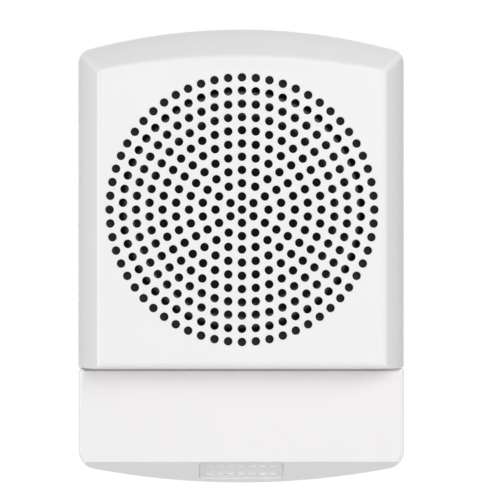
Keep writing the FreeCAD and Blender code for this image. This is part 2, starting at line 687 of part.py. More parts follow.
def tinsel_leads():
    """Limp braided leads from the lugs through a basket window to the back of the cone."""
    cone_back = cone_depth(22.4) - SKIN - 0.2
    leads = []
    for x in LUG_XS:
        points = [V(x, FLANGE_BACK - 1.65, -47.4), V(x, FLANGE_BACK - 2.1, -43.0),
                  V(x, LEDGE + 3.2, -35.0), V(x, LEDGE + 3.4, -26.0), V(x, cone_back, -22.0)]
        leads.append(bent_wire(points, 0.35, 2.0))
    return group(leads)


def lead_terminal_lugs():
    face = FLANGE_BACK - 1.2
    lugs = []
    for x in LUG_XS:
        pad = block(x - 1.8, x + 1.8, face - 0.6, face, LUG_Z - 0.3, -47.5)
        tail = block(x - 1.2, x + 1.2, face - 5.0, face - 0.6, LUG_Z - 0.3, LUG_Z + 0.3)
        lugs.append(pad.fuse(tail).removeSplitter())
    return group([one_solid(lug) for lug in lugs])


# ---------------------------------------------------------------- electronics

HEADER_X = -32.0
HEADER_Z = -70.0
LEAD_RADIUS = 0.7


def circuit_board():
    board = block(-BOARD_HALF, BOARD_HALF, BOARD, BOARD_FRONT, -92.0, -62.0)
    board = board.makeFillet(2.0, edges_along_y(board))
    holes = [rod_y(x, z, 1.6, BOARD - 1, BOARD_FRONT + 1) for x, z in STANDOFFS]
    return board.cut(group(holes))


def board_screws():
    screws = []
    for x, z in STANDOFFS:
        head = rod_y(x, z, 2.6, BOARD_FRONT, BOARD_FRONT + 1.7)
        shank = rod_y(x, z, 1.0, PANEL_FRONT + 1, BOARD_FRONT)
        slot = block(x - 3, x + 3, BOARD_FRONT + 1, BOARD_FRONT + 2, z - 0.3, z + 0.3)
        screws.append(one_solid(head.fuse(shank).cut(slot)))
    return group(screws)


def electrolytic_capacitors():
    cans = []
    for x, z, radius, height in ((-14, -84, 4.0, 10.0), (-4, -84, 4.0, 10.0), (6, -85, 3.1, 8.0)):
        can = rod_y(x, z, radius, BOARD_FRONT, BOARD_FRONT + height)
        top = [edge for edge in can.Edges if edge.BoundBox.YMin < -BOARD_FRONT - height + 0.01
               and edge.BoundBox.YLength < 0.01]
        cans.append(can.makeFillet(0.6, top))
    return group(cans)


def transformer_core():
    core = block(12, 30, BOARD_FRONT + 1, BOARD_FRONT + 9, -88, -72)
    windows = [block(15, 18.6, BOARD_FRONT, BOARD_FRONT + 10, -85, -75),
               block(23.4, 27, BOARD_FRONT, BOARD_FRONT + 10, -85, -75)]
    return core.cut(group(windows))


def transformer_winding():
    outer = block(15, 27, BOARD_FRONT, BOARD_FRONT + 10, -84.9, -75.1)
    outer = outer.makeFillet(1.4, [edge for edge in outer.Edges if edge.BoundBox.ZLength > 9])
    return outer.cut(block(18.6, 23.4, BOARD_FRONT + 1, BOARD_FRONT + 9, -86, -74))


def control_chips():
    chips = [block(-33, -28, BOARD_FRONT, BOARD_FRONT + 1.6, -88, -81),
             block(-22.5, -18.5, BOARD_FRONT, BOARD_FRONT + 1.5, -76, -71),
             block(0, 4, BOARD_FRONT, BOARD_FRONT + 1.5, -75, -69)]
    return group(chips)


def chip_resistors():
    parts = []
    for i in range(5):
        x = -16 + 3.2 * i
        parts.append(block(x, x + 1.2, BOARD_FRONT, BOARD_FRONT + 0.6, -67.0, -65.0))
    return group(parts)


def speaker_header():
    shell = block(HEADER_X - 4.5, HEADER_X + 4.5, BOARD_FRONT, BOARD_FRONT + 6,
                  HEADER_Z - 3, HEADER_Z + 3)
    return shell.cut(block(HEADER_X - 3.7, HEADER_X + 3.7, BOARD_FRONT + 1, BOARD_FRONT + 7,
                           HEADER_Z - 2.2, HEADER_Z + 2.2))


def speaker_plug():
    body = block(HEADER_X - 3.7, HEADER_X + 3.7, BOARD_FRONT + 1.5, BOARD_FRONT + 9,
                 HEADER_Z - 2.2, HEADER_Z + 2.2)
    return body.makeChamfer(0.4, [edge for edge in body.Edges
                                  if edge.BoundBox.YMin < -BOARD_FRONT - 8.99
                                  and edge.BoundBox.YLength < 0.01])


def speaker_lead(side):
    """Insulated lead from a loudspeaker lug down to the plug; side is -1 or 1."""
    plug_depth = BOARD_FRONT + 7.6
    x_lug = LUG_XS[1] if side > 0 else LUG_XS[0]
    x_plug = HEADER_X + 1.5 * side
    start = FLANGE_BACK - 6.2
    across = 25.8 - 1.4 * side            # the two leads pass each other at different depths
    points = [V(x_lug, start, LUG_Z), V(x_lug, across, LUG_Z),
              V(x_plug, across, LUG_Z - 1.4), V(x_plug, plug_depth, LUG_Z - 9.0),
              V(x_plug, plug_depth, HEADER_Z + 2.2)]
    return bent_wire(points, LEAD_RADIUS, 2.6)


def contact_blades():
    return group([block(x - 1.2, x + 1.2, BLADE_TIP, BOARD, -64.0, -63.2) for x in POLE_XS])


def dip_switch():
    body = block(DIP_X - DIP_HALF_X, DIP_X + DIP_HALF_X, BOARD - DIP_BODY, BOARD,
                 DIP_Z - DIP_HALF_Z, DIP_Z + DIP_HALF_Z)
    slots = [block(x - 0.75, x + 0.75, BOARD - DIP_BODY - 1, BOARD - 2.6, DIP_Z - 1.8, DIP_Z + 1.8)
             for x in DIP_XS]
    return body.cut(group(slots))


def dip_slider(i):
    """Small slider that starts at the lower end of its slot."""
    x = DIP_XS[i]
    foot_top = BOARD - DIP_BODY + 0.1
    foot = block(x - 0.6, x + 0.6, foot_top, BOARD - 2.7, DIP_LOW_Z, DIP_LOW_Z + 1.9)
    nib = block(x - 0.45, x + 0.45, foot_top - 0.9, foot_top, DIP_LOW_Z + 0.3, DIP_LOW_Z + 1.6)
    return one_solid(foot.fuse(nib))


# ---------------------------------------------------------------- wall plate

BLOCK_FRONT = 12.0
BLOCK_LOW_Z = -74.0
BLOCK_HIGH_Z = -60.0
BLADE_TIP = 12.9
LATCH_LOW_Z = -85.4
LATCH_HIGH_Z = -78.4
LATCH_HALF = 5.0
LATCH_FRONT = LOCK_DEPTH + 4.4
INSERT_RADIUS = 2.5
INSERT_BORE = 1.65
SPRING_LEAF = [(8.2, -65.6), (8.2, -61.4), (12.2, -63.0), (11.6, -65.2)]
CLAMP_SCREW_Z = -70.2
CLAMP_SCREW_RADIUS = 1.5
CLAMP_SCREW_SEAT = 9.2


def mounting_plate():
    plate_outline = outline(0, PLATE_HALF, PLATE_CROWN_Z, CROWN_ARC - 4.7, PLATE_HEEL_Z,
                            HEEL_ARC - 3.1)
    plate = prism(plate_outline, PLATE)
    plate = plate.makeFillet(4.0, edges_along_y(plate))
    extras = []
    cuts = []
    for side in (-1, 1):
        x0, x1 = sorted((14.0 * side, 16.0 * side))
        x2, x3 = sorted((28.0 * side, 30.0 * side))
        extras.append(block(x0, x1, 0.5, 6.8, 55.0, 61.2))
        extras.append(block(x2, x3, 0.5, 6.8, 55.0, 61.2))
        pin0, pin1 = min(x0, x2), max(x1, x3)
        extras.append(rod_x(pin0, pin1, HINGE_DEPTH, HINGE_Z, PIN_RADIUS))
        cuts.append(block(min(x1, x3), max(x0, x2), -1, PLATE + 1, 54.5, 63.0))
        x4, x5 = sorted((47.0 * side, 48.6 * side))
        extras.append(block(x4, x5, 0.5, PLATE + 2.2, -76.0, 40.0))
    latch = block(-LATCH_HALF, LATCH_HALF, 0.5, LATCH_FRONT, LATCH_LOW_Z, LATCH_HIGH_Z)
    latch = latch.makeFillet(2.5, [edge for edge in latch.Edges if edge.BoundBox.ZLength > 6
                                   and edge.BoundBox.YMin < -LOCK_DEPTH])
    extras.append(latch)
    cuts.append(rod_y(0, 0, 27, -1, PLATE + 1))
    cuts.append(rod_z(0, LOCK_DEPTH, INSERT_RADIUS, LATCH_LOW_Z - 1, LATCH_HIGH_Z + 1))
    for sx in (-1, 1):
        for sz in (-1, 1):
            cuts.append(rod_y(sx * BOX_SCREW, sz * BOX_SCREW, 2.3, -1, PLATE + 1))
        cuts.append(rod_y(0, sx * GANG_SCREW, 2.1, -1, PLATE + 1))
    plate = plate.cut(group(cuts[:2])).multiFuse(extras).cut(group(cuts[2:]))
    return one_solid(plate)


def lock_insert():
    insert = rod_z(0, LOCK_DEPTH, INSERT_RADIUS, LATCH_LOW_Z, LATCH_HIGH_Z)
    bore = rod_z(0, LOCK_DEPTH, INSERT_BORE, LATCH_LOW_Z - 1, LATCH_HIGH_Z + 1)
    return insert.cut(bore)


def terminal_block():
    body = block(-22.5, 22.5, PLATE, BLOCK_FRONT, BLOCK_LOW_Z, BLOCK_HIGH_Z)
    cuts = []
    for x in POLE_XS:
        wire_cage = block(x - 3, x + 3, 4.0, CLAMP_SCREW_SEAT, BLOCK_LOW_Z - 1, -67.0)
        screw_well = rod_y(x, CLAMP_SCREW_Z, 2.8, CLAMP_SCREW_SEAT - 0.2, BLOCK_FRONT + 1)
        spring_slot = block(x - 1.9, x + 1.9, 8.0, BLOCK_FRONT + 1, -65.9, -61.0)
        cuts += [wire_cage, screw_well, spring_slot]
    for x in POLE_XS[:-1]:
        gap = x + POLE_PITCH / 2
        cuts.append(block(gap - 0.4, gap + 0.4, BLOCK_FRONT - 1.6, BLOCK_FRONT + 1,
                          BLOCK_LOW_Z - 1, BLOCK_HIGH_Z))
    return one_solid(body.cut(group(cuts)))


def terminal_screws():
    screws = []
    for x in POLE_XS:
        head = rod_y(x, CLAMP_SCREW_Z, 2.5, CLAMP_SCREW_SEAT, CLAMP_SCREW_SEAT + 2)
        shank = rod_y(x, CLAMP_SCREW_Z, CLAMP_SCREW_RADIUS, 4.6, CLAMP_SCREW_SEAT)
        slot = block(x - 3, x + 3, CLAMP_SCREW_SEAT + 1.2, CLAMP_SCREW_SEAT + 3,
                     CLAMP_SCREW_Z - 0.4, CLAMP_SCREW_Z + 0.4)
        screws.append(one_solid(head.fuse(shank).cut(slot)))
    return group(screws)


def terminal_clamps():
    clamps = []
    for x in POLE_XS:
        clamp = block(x - 2.7, x + 2.7, 7.4, 8.6, -73.6, -67.3)
        clamps.append(clamp.cut(rod_y(x, CLAMP_SCREW_Z, CLAMP_SCREW_RADIUS, 0, BLOCK_FRONT)))
    return group(clamps)


def contact_springs():
    return group([strip(SPRING_LEAF, 0.4, x - 1.4, x + 1.4) for x in POLE_XS])


# ---------------------------------------------------------------- lock screw

SCREW_HEAD_LOW_Z = LOCK_FLOOR_Z - LOCK_TRAVEL - 2.3
SCREW_HEAD_HIGH_Z = LOCK_FLOOR_Z - LOCK_TRAVEL
SCREW_TIP_Z = LATCH_LOW_Z - 0.7
SCREW_RADIUS = 1.5
WASHER_LOW_Z = LOCK_FLOOR_Z + LOCK_FLOOR + 0.3


def lock_screw():
    head = rod_z(0, LOCK_DEPTH, 3.1, SCREW_HEAD_LOW_Z, SCREW_HEAD_HIGH_Z)
    shank = rod_z(0, LOCK_DEPTH, SCREW_RADIUS, SCREW_HEAD_HIGH_Z, SCREW_TIP_Z)
    tip = [edge for edge in shank.Edges if edge.BoundBox.ZMin > SCREW_TIP_Z - 0.01]
    shank = shank.makeChamfer(0.4, tip)
    groove = rod_z(0, LOCK_DEPTH, 2.0, WASHER_LOW_Z, WASHER_LOW_Z + 0.8).cut(
        rod_z(0, LOCK_DEPTH, 1.1, WASHER_LOW_Z, WASHER_LOW_Z + 0.8))
    arm, half = 2.0, 0.4
    low, high = SCREW_HEAD_LOW_Z - 1, SCREW_HEAD_LOW_Z + 1.4
    cross = block(-arm, arm, LOCK_DEPTH - half, LOCK_DEPTH + half, low, high).fuse(
        block(-half, half, LOCK_DEPTH - arm, LOCK_DEPTH + arm, low, high))
    return one_solid(head.fuse(shank).cut(groove.fuse(cross)))


def retaining_washer():
    ring = rod_z(0, LOCK_DEPTH, 3.0, WASHER_LOW_Z + 0.05, WASHER_LOW_Z + 0.75)
    return ring.cut(rod_z(0, LOCK_DEPTH, 1.15, WASHER_LOW_Z, WASHER_LOW_Z + 0.8))


# ---------------------------------------------------------------- all the pieces

NODES = {
    "mounting_plate": mounting_plate,
    "lock_insert": lock_insert,
    "terminal_block": terminal_block,
    "terminal_screws": terminal_screws,
    "terminal_clamps": terminal_clamps,
    "contact_springs": contact_springs,
    "grille_cover": grille_cover,
    "lower_cover": lower_cover,
    "name_badge": name_badge,
    "rear_cover": rear_cover,
    "rear_cover_screws": rear_cover_screws,
    "speaker_gasket": speaker_gasket,
    "speaker_basket": speaker_basket,
    "yoke": yoke,
    "ferrite_magnet": ferrite_magnet,
    "top_plate": top_plate,
    "voice_coil_former": voice_coil_former,
    "voice_coil": voice_coil,
    "spider": spider,
    "speaker_cone": speaker_cone,
    "dust_cap": dust_cap,
    "surround": surround,
    "speaker_screws": speaker_screws,
    "lead_terminal_board": lead_terminal_board,
    "lead_terminal_lugs": lead_terminal_lugs,
    "tinsel_leads": tinsel_leads,
    "circuit_board": circuit_board,
    "board_screws": board_screws,
    "electrolytic_capacitors": electrolytic_capacitors,
    "transformer_core": transformer_core,
    "transformer_winding": transformer_winding,
    "control_chips": control_chips,
    "chip_resistors": chip_resistors,
    "speaker_header": speaker_header,
    "speaker_plug": speaker_plug,
    "contact_blades": contact_blades,
    "dip_switch": dip_switch,
    "lock_screw": lock_screw,
    "retaining_washer": retaining_washer,
}

os.makedirs("parts", exist_ok=True)
shapes = {name: make() for name, make in NODES.items()}
shapes["speaker_lead_red"] = speaker_lead(1)
shapes["speaker_lead_black"] = speaker_lead(-1)
for i in range(4):
    shapes["dip_slider_" + str(i + 1)] = dip_slider(i)
for name, shape in shapes.items():
    if not shape.isValid():
        print("invalid:", name)
    print(name, len(shape.Solids), round(shape.Volume, 1))
    shape.exportStep("parts/" + name + ".step")
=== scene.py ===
import bpy
import bmesh
import json
import math
from mathutils import Matrix, Vector
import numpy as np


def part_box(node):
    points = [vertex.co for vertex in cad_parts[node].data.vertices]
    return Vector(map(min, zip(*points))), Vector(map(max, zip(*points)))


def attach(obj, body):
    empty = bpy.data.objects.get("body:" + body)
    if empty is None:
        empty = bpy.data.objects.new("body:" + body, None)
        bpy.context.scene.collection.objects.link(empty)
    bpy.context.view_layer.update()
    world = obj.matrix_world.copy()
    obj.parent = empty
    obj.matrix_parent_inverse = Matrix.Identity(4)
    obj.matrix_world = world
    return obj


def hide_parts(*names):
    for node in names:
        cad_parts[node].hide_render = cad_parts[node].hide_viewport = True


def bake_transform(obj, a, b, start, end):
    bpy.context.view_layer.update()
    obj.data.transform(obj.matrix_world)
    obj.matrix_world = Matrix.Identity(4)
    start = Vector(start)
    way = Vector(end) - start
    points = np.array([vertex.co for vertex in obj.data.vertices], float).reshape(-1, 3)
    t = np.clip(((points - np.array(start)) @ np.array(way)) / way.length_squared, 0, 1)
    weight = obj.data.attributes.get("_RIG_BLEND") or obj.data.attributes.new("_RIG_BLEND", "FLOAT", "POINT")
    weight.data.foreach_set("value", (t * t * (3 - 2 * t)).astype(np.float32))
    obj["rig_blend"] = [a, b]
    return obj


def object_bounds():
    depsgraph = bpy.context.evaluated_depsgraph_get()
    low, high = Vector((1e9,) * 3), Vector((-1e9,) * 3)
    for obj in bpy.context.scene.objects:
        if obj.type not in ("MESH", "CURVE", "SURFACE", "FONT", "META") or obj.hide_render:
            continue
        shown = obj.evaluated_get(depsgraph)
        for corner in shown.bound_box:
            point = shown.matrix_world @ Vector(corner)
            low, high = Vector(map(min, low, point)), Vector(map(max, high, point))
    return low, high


# Looks of a wall-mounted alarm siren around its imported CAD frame. Metres. The origin is on
# the wall, on the loudspeaker's axis; +Z is up and the front faces -Y.

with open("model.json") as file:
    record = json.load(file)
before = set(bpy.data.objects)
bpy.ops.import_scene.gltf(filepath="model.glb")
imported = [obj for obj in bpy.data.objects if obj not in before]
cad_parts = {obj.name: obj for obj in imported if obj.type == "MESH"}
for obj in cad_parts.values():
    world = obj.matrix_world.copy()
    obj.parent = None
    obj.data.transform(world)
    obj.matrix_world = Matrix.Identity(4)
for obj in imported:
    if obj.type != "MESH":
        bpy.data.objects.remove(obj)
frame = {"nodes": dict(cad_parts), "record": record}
cad_low, cad_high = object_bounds()

MM = 0.001
FULL_TURN = 2 * math.pi
CHIN_SLOPE = math.atan2(8.25, 12.8)    # the chin's rise over its run
THREAD_PITCH = 0.7938 * MM            # of the lock screw


# ---------------------------------------------------------------- node helpers

class Nodes:
    """Short calls that add shader nodes to a node tree and join them."""

    def __init__(self, tree):
        self.tree = tree

    def add(self, kind):
        return self.tree.nodes.new(kind)

    def join(self, output, socket):
        self.tree.links.new(output, socket)

    def math(self, operation, a, b=None):
        node = self.add("ShaderNodeMath")
        node.operation = operation
        for socket, value in zip(node.inputs, (a, b)):
            if isinstance(value, (int, float)):
                socket.default_value = value
            elif value is not None:
                self.join(value, socket)
        return node.outputs[0]

    def spread(self, value, low, high, to_low=0.0, to_high=1.0):
        node = self.add("ShaderNodeMapRange")
        for label, number in (("From Min", low), ("From Max", high),
                              ("To Min", to_low), ("To Max", to_high)):
            node.inputs[label].default_value = number
        self.join(value, node.inputs["Value"])
        return node.outputs["Result"]

    def parts(self, vector):
        """The X, Y and Z outputs of a vector."""
        split = self.add("ShaderNodeSeparateXYZ")
        self.join(vector, split.inputs[0])
        return list(split.outputs)

    def length(self, a, b):
        """Length of the vector that has these two parts at right angles."""
        return self.math("SQRT", self.math("ADD", self.math("MULTIPLY", a, a),
                                           self.math("MULTIPLY", b, b)))


class Finish(Nodes):
    """A Principled material, with short calls that add texture nodes to it."""

    def __init__(self, name, colour, roughness, metallic=0.0, **sockets):
        self.material = bpy.data.materials.new(name)
        self.material.use_nodes = True
        super().__init__(self.material.node_tree)
        self.shader = self.tree.nodes["Principled BSDF"]
        self.colour = colour
        self.shader.inputs["Base Color"].default_value = (*colour, 1)
        self.shader.inputs["Roughness"].default_value = roughness
        self.shader.inputs["Metallic"].default_value = metallic
        for label, value in sockets.items():
            self.shader.inputs[label.replace("_", " ")].default_value = value
        self.place = self.add("ShaderNodeTexCoord").outputs["Object"]

    def stretched(self, x=1.0, y=1.0, z=1.0):
        """Coordinates in which a texture is that many times finer along each axis."""
        node = self.add("ShaderNodeMapping")
        node.inputs["Scale"].default_value = (x, y, z)
        self.join(self.place, node.inputs["Vector"])
        return node.outputs["Vector"]

    def about_axis(self, per_turn, per_metre_out):
        """Coordinates (turns about the Y axis, radius), for round parts."""
        x, z = self.parts(self.place)[::2]
        node = self.add("ShaderNodeCombineXYZ")
        for socket, value, scale in (
                (node.inputs[0], self.math("ARCTAN2", z, x), per_turn / FULL_TURN),
                (node.inputs[1], self.length(x, z), per_metre_out)):
            self.join(self.math("MULTIPLY", value, scale), socket)
        return node.outputs[0]

    def noise(self, size, detail=2.0, where=None, rough=0.5):
        node = self.add("ShaderNodeTexNoise")
        node.inputs["Scale"].default_value = 1 / size
        node.inputs["Detail"].default_value = detail
        node.inputs["Roughness"].default_value = rough
        self.join(where or self.place, node.inputs["Vector"])
        return node.outputs["Fac"]

    def cells(self, size, output="Distance", metric="EUCLIDEAN"):
        node = self.add("ShaderNodeTexVoronoi")
        node.distance = metric
        node.inputs["Scale"].default_value = 1 / size
        self.join(self.place, node.inputs["Vector"])
        return node.outputs[output]

    def bands(self, size, axis, where=None, waviness=0.0):
        """Sine bands across an axis, one every size metres."""
        node = self.add("ShaderNodeTexWave")
        node.bands_direction = axis
        node.inputs["Scale"].default_value = FULL_TURN / 20 / size
        node.inputs["Distortion"].default_value = waviness
        node.inputs["Detail"].default_value = 1.0
        self.join(where or self.place, node.inputs["Vector"])
        return node.outputs["Fac"]

    def tint(self, factor, low, high):
        """Base colour that runs from one colour to another with a factor."""
        node = self.add("ShaderNodeMix")
        node.data_type = "RGBA"
        self.join(factor, node.inputs["Factor"])
        node.inputs[6].default_value = (*low, 1)
        node.inputs[7].default_value = (*high, 1)
        self.join(node.outputs[2], self.shader.inputs["Base Color"])

    def shade(self, factor, amount):
        """Base colour lighter and darker by a share of itself."""
        self.tint(factor, [c * (1 - amount) for c in self.colour],
                  [min(1.0, c * (1 + amount)) for c in self.colour])

    def roughen(self, value, low, high):
        self.join(self.spread(value, 0.25, 0.75, low, high), self.shader.inputs["Roughness"])

    def relief(self, *layers):
        """Bump from (texture value, height in metres) layers."""
        total = None
        for value, height in layers:
            layer = self.math("MULTIPLY", value, height)
            total = layer if total is None else self.math("ADD", total, layer)
        node = self.add("ShaderNodeBump")
        node.inputs["Distance"].default_value = 1.0
        self.join(total, node.inputs["Height"])
        self.join(node.outputs["Normal"], self.shader.inputs["Normal"])


# ---------------------------------------------------------------- materials

def moulded(name, colour, roughness, grain=0.4 * MM, depth=0.003 * MM, tone=0.012):
    """Injection-moulded plastic: spark-eroded grain, faint flow marks, uneven gloss."""
    finish = Finish(name, colour, roughness, IOR=1.49)
    texture = finish.noise(grain, detail=3)
    flow = finish.noise(28 * MM, detail=2, where=finish.stretched(1, 1, 0.5))
    finish.shade(flow, tone)
    finish.roughen(texture, roughness - 0.05, roughness + 0.05)
    finish.relief((texture, depth), (flow, 0.02 * MM))
    return finish.material


def galvanised():
    """Zinc-dipped sheet with spangle and roller streaks."""
    finish = Finish("galvanised_steel", (0.56, 0.575, 0.59), 0.42, 1.0)
    spangle = finish.cells(6 * MM, output="Color")
    streaks = finish.noise(1.2 * MM, detail=3, where=finish.stretched(1, 1, 0.06))
    mixed = finish.math("ADD", finish.math("MULTIPLY", spangle, 0.55),
                        finish.math("MULTIPLY", streaks, 0.45))
    finish.tint(mixed, (0.47, 0.485, 0.50), (0.66, 0.67, 0.68))
    finish.roughen(mixed, 0.34, 0.52)
    finish.relief((spangle, 0.006 * MM), (streaks, 0.004 * MM))
    return finish.material


def zinc_plated():
    """Bright passivated zinc, a little blue, with fine rub marks."""
    finish = Finish("zinc_steel", (0.64, 0.66, 0.69), 0.3, 1.0)
    cloud = finish.noise(2.2 * MM, detail=3)
    rub = finish.noise(0.25 * MM, detail=4)
    finish.tint(cloud, (0.60, 0.63, 0.68), (0.70, 0.695, 0.66))
    finish.roughen(rub, 0.24, 0.4)
    finish.relief((rub, 0.002 * MM))
    return finish.material


def painted_steel():
    """Black stoving paint with orange peel and a little dust."""
    finish = Finish("black_steel", (0.028, 0.028, 0.03), 0.36, Coat_Weight=0.3, Coat_Roughness=0.25)
    peel = finish.noise(0.9 * MM, detail=2)
    dust = finish.noise(5 * MM, detail=4)
    finish.tint(dust, (0.02, 0.02, 0.022), (0.045, 0.045, 0.047))
    finish.roughen(dust, 0.3, 0.48)
    finish.relief((peel, 0.012 * MM))
    return finish.material


def sintered_ferrite():
    finish = Finish("ferrite", (0.07, 0.07, 0.075), 0.62)
    grit = finish.noise(0.35 * MM, detail=4, rough=0.7)
    patches = finish.noise(7 * MM, detail=3)
    finish.tint(finish.math("MULTIPLY", grit, patches), (0.035, 0.035, 0.038), (0.16, 0.16, 0.165))
    finish.roughen(grit, 0.5, 0.75)
    finish.relief((grit, 0.03 * MM))
    return finish.material


def pressed_paper():
    """Felted cone paper with short fibres, lacquered on its front."""
    finish = Finish("black_paper", (0.02, 0.02, 0.021), 0.7)
    fibres = finish.noise(0.5 * MM, detail=4, rough=0.7)
    long_fibres = finish.noise(1.0, detail=3, where=finish.about_axis(90.0, 400.0))
    mixed = finish.math("ADD", finish.math("MULTIPLY", fibres, 0.5),
                        finish.math("MULTIPLY", long_fibres, 0.5))
    finish.tint(mixed, (0.006, 0.006, 0.007), (0.032, 0.031, 0.032))
    finish.roughen(mixed, 0.58, 0.85)
    finish.relief((fibres, 0.03 * MM), (long_fibres, 0.02 * MM))
    return finish.material


def rubber_edge():
    """Glossy butyl rubber with a dusting of talc."""
    finish = Finish("black_rubber", (0.02, 0.02, 0.022), 0.34)
    talc = finish.noise(1.4 * MM, detail=4, rough=0.65)
    skin = finish.noise(0.15 * MM, detail=2)
    finish.tint(talc, (0.012, 0.012, 0.013), (0.045, 0.045, 0.047))
    finish.roughen(talc, 0.22, 0.4)
    finish.relief((skin, 0.004 * MM))
    return finish.material


def open_foam():
    finish = Finish("grey_foam", (0.03, 0.03, 0.032), 0.95)
    pores = finish.cells(0.55 * MM)
    finish.tint(pores, (0.005, 0.005, 0.006), (0.032, 0.032, 0.034))
    finish.roughen(pores, 0.85, 1.0)
    finish.relief((pores, 0.12 * MM))
    return finish.material


def resin_cloth():
    """Open plain weave stiffened with amber resin."""
    finish = Finish("spider_cloth", (0.52, 0.36, 0.14), 0.6)
    warp = finish.bands(0.42 * MM, "X")
    weft = finish.bands(0.42 * MM, "Z")
    weave = finish.math("MAXIMUM", warp, weft)
    resin = finish.noise(3 * MM, detail=3)
    finish.tint(finish.math("MULTIPLY", weave, resin), (0.16, 0.09, 0.03), (0.72, 0.54, 0.25))
    finish.roughen(resin, 0.45, 0.75)
    finish.relief((weave, 0.05 * MM))
    return finish.material


def foil_former():
    finish = Finish("coil_former", (0.78, 0.78, 0.79), 0.26, 1.0)
    wrinkle = finish.noise(2.5 * MM, detail=3, where=finish.stretched(1, 0.35, 1))
    finish.shade(wrinkle, 0.08)
    finish.roughen(wrinkle, 0.2, 0.36)
    finish.relief((wrinkle, 0.03 * MM))
    return finish.material


def enamelled_wire():
    """Close windings of enamelled copper round the loudspeaker's axis."""
    finish = Finish("copper_wire", (0.70, 0.30, 0.14), 0.25, 1.0, Coat_Weight=0.6,
                    Coat_Roughness=0.12)
    turns = finish.bands(0.16 * MM, "Y")
    tone = finish.noise(1.5 * MM, detail=2)
    finish.tint(finish.math("MULTIPLY", turns, tone), (0.28, 0.09, 0.03), (0.86, 0.42, 0.21))
    finish.roughen(tone, 0.2, 0.34)
    finish.relief((turns, 0.05 * MM))
    return finish.material


def copper_alloy(name, bright, dull, roughness):
    """Brass or bronze with a cloudy tarnish."""
    finish = Finish(name, bright, roughness, 1.0)
    tarnish = finish.noise(2.4 * MM, detail=4)
    marks = finish.noise(0.2 * MM, detail=3)
    finish.tint(tarnish, dull, bright)
    finish.roughen(tarnish, roughness + 0.14, roughness - 0.04)
    finish.relief((marks, 0.002 * MM))
    return finish.material


def solder_mask():
    """Green solder mask over glass cloth and over copper traces that run across or upright."""
    finish = Finish("board_green", (0.015, 0.13, 0.05), 0.3, Coat_Weight=0.5, Coat_Roughness=0.18)
    weave = finish.math("MULTIPLY", finish.bands(0.55 * MM, "X"), finish.bands(0.55 * MM, "Z"))
    across = finish.spread(finish.cells(7 * MM, output="Color", metric="CHEBYCHEV"), 0.49, 0.51)
    upright = finish.math("SUBTRACT", 1.0, across)
    rows = finish.spread(finish.bands(1.3 * MM, "Z"), 0.45, 0.6)
    columns = finish.spread(finish.bands(1.3 * MM, "X"), 0.45, 0.6)
    copper = finish.math("ADD", finish.math("MULTIPLY", rows, across),
                         finish.math("MULTIPLY", columns, upright))
    mixed = finish.math("ADD", finish.math("MULTIPLY", weave, 0.2),
                        finish.math("MULTIPLY", copper, 0.8))
    finish.tint(mixed, (0.008, 0.075, 0.028), (0.02, 0.17, 0.065))
    finish.roughen(weave, 0.26, 0.38)
    finish.relief((weave, 0.006 * MM), (copper, 0.02 * MM))
    return finish.material


def paper_laminate():
    """Brown phenolic sheet whose layers show as lines at its edges."""
    finish = Finish("phenolic_brown", (0.27, 0.14, 0.05), 0.45)
    layers = finish.bands(0.18 * MM, "Y", waviness=1.5)
    fibres = finish.noise(0.8 * MM, detail=4, where=finish.stretched(0.25, 1, 1))
    finish.tint(finish.math("MULTIPLY", layers, fibres), (0.14, 0.065, 0.02), (0.42, 0.24, 0.1))
    finish.roughen(fibres, 0.36, 0.58)
    finish.relief((fibres, 0.006 * MM))
    return finish.material


def stacked_steel():
    """Transformer laminations: a dark line between every two sheets."""
    finish = Finish("core_steel", (0.36, 0.36, 0.38), 0.45, 0.85)
    sheets = finish.bands(0.5 * MM, "Y")
    stain = finish.noise(2.5 * MM, detail=4)
    finish.tint(finish.math("MULTIPLY", sheets, stain), (0.1, 0.1, 0.11), (0.52, 0.52, 0.54))
    finish.roughen(stain, 0.36, 0.58)
    finish.relief((sheets, 0.05 * MM))
    return finish.material


def polyester_tape():
    """Yellow tape wound over the coil, with the step of each overlap."""
    finish = Finish("winding_tape", (0.78, 0.55, 0.06), 0.24, Coat_Weight=0.5, Coat_Roughness=0.15)
    overlap = finish.bands(3.1 * MM, "Z", waviness=0.6)
    cloud = finish.noise(2 * MM, detail=3)
    finish.tint(finish.math("MULTIPLY", overlap, cloud), (0.55, 0.34, 0.02), (0.92, 0.70, 0.14))
    finish.roughen(cloud, 0.18, 0.34)
    finish.relief((overlap, 0.06 * MM))
    return finish.material


def shrink_sleeve():
    """Dark blue shrink sleeve of a capacitor, pulled a little uneven."""
    finish = Finish("capacitor_sleeve", (0.02, 0.03, 0.12), 0.22, Coat_Weight=0.4)
    pull = finish.noise(1.6 * MM, detail=2, where=finish.stretched(1, 0.3, 1))
    finish.tint(pull, (0.012, 0.018, 0.08), (0.035, 0.05, 0.18))
    finish.roughen(pull, 0.18, 0.32)
    finish.relief((pull, 0.02 * MM))
    return finish.material


def wire_insulation(name, colour):
    """PVC insulation, glossy and slightly uneven along the wire."""
    finish = Finish(name, colour, 0.3, Coat_Weight=0.25, Coat_Roughness=0.2)
    draw = finish.noise(1.3 * MM, detail=3)
    finish.shade(draw, 0.18)
    finish.roughen(draw, 0.24, 0.4)
    finish.relief((draw, 0.012 * MM))
    return finish.material


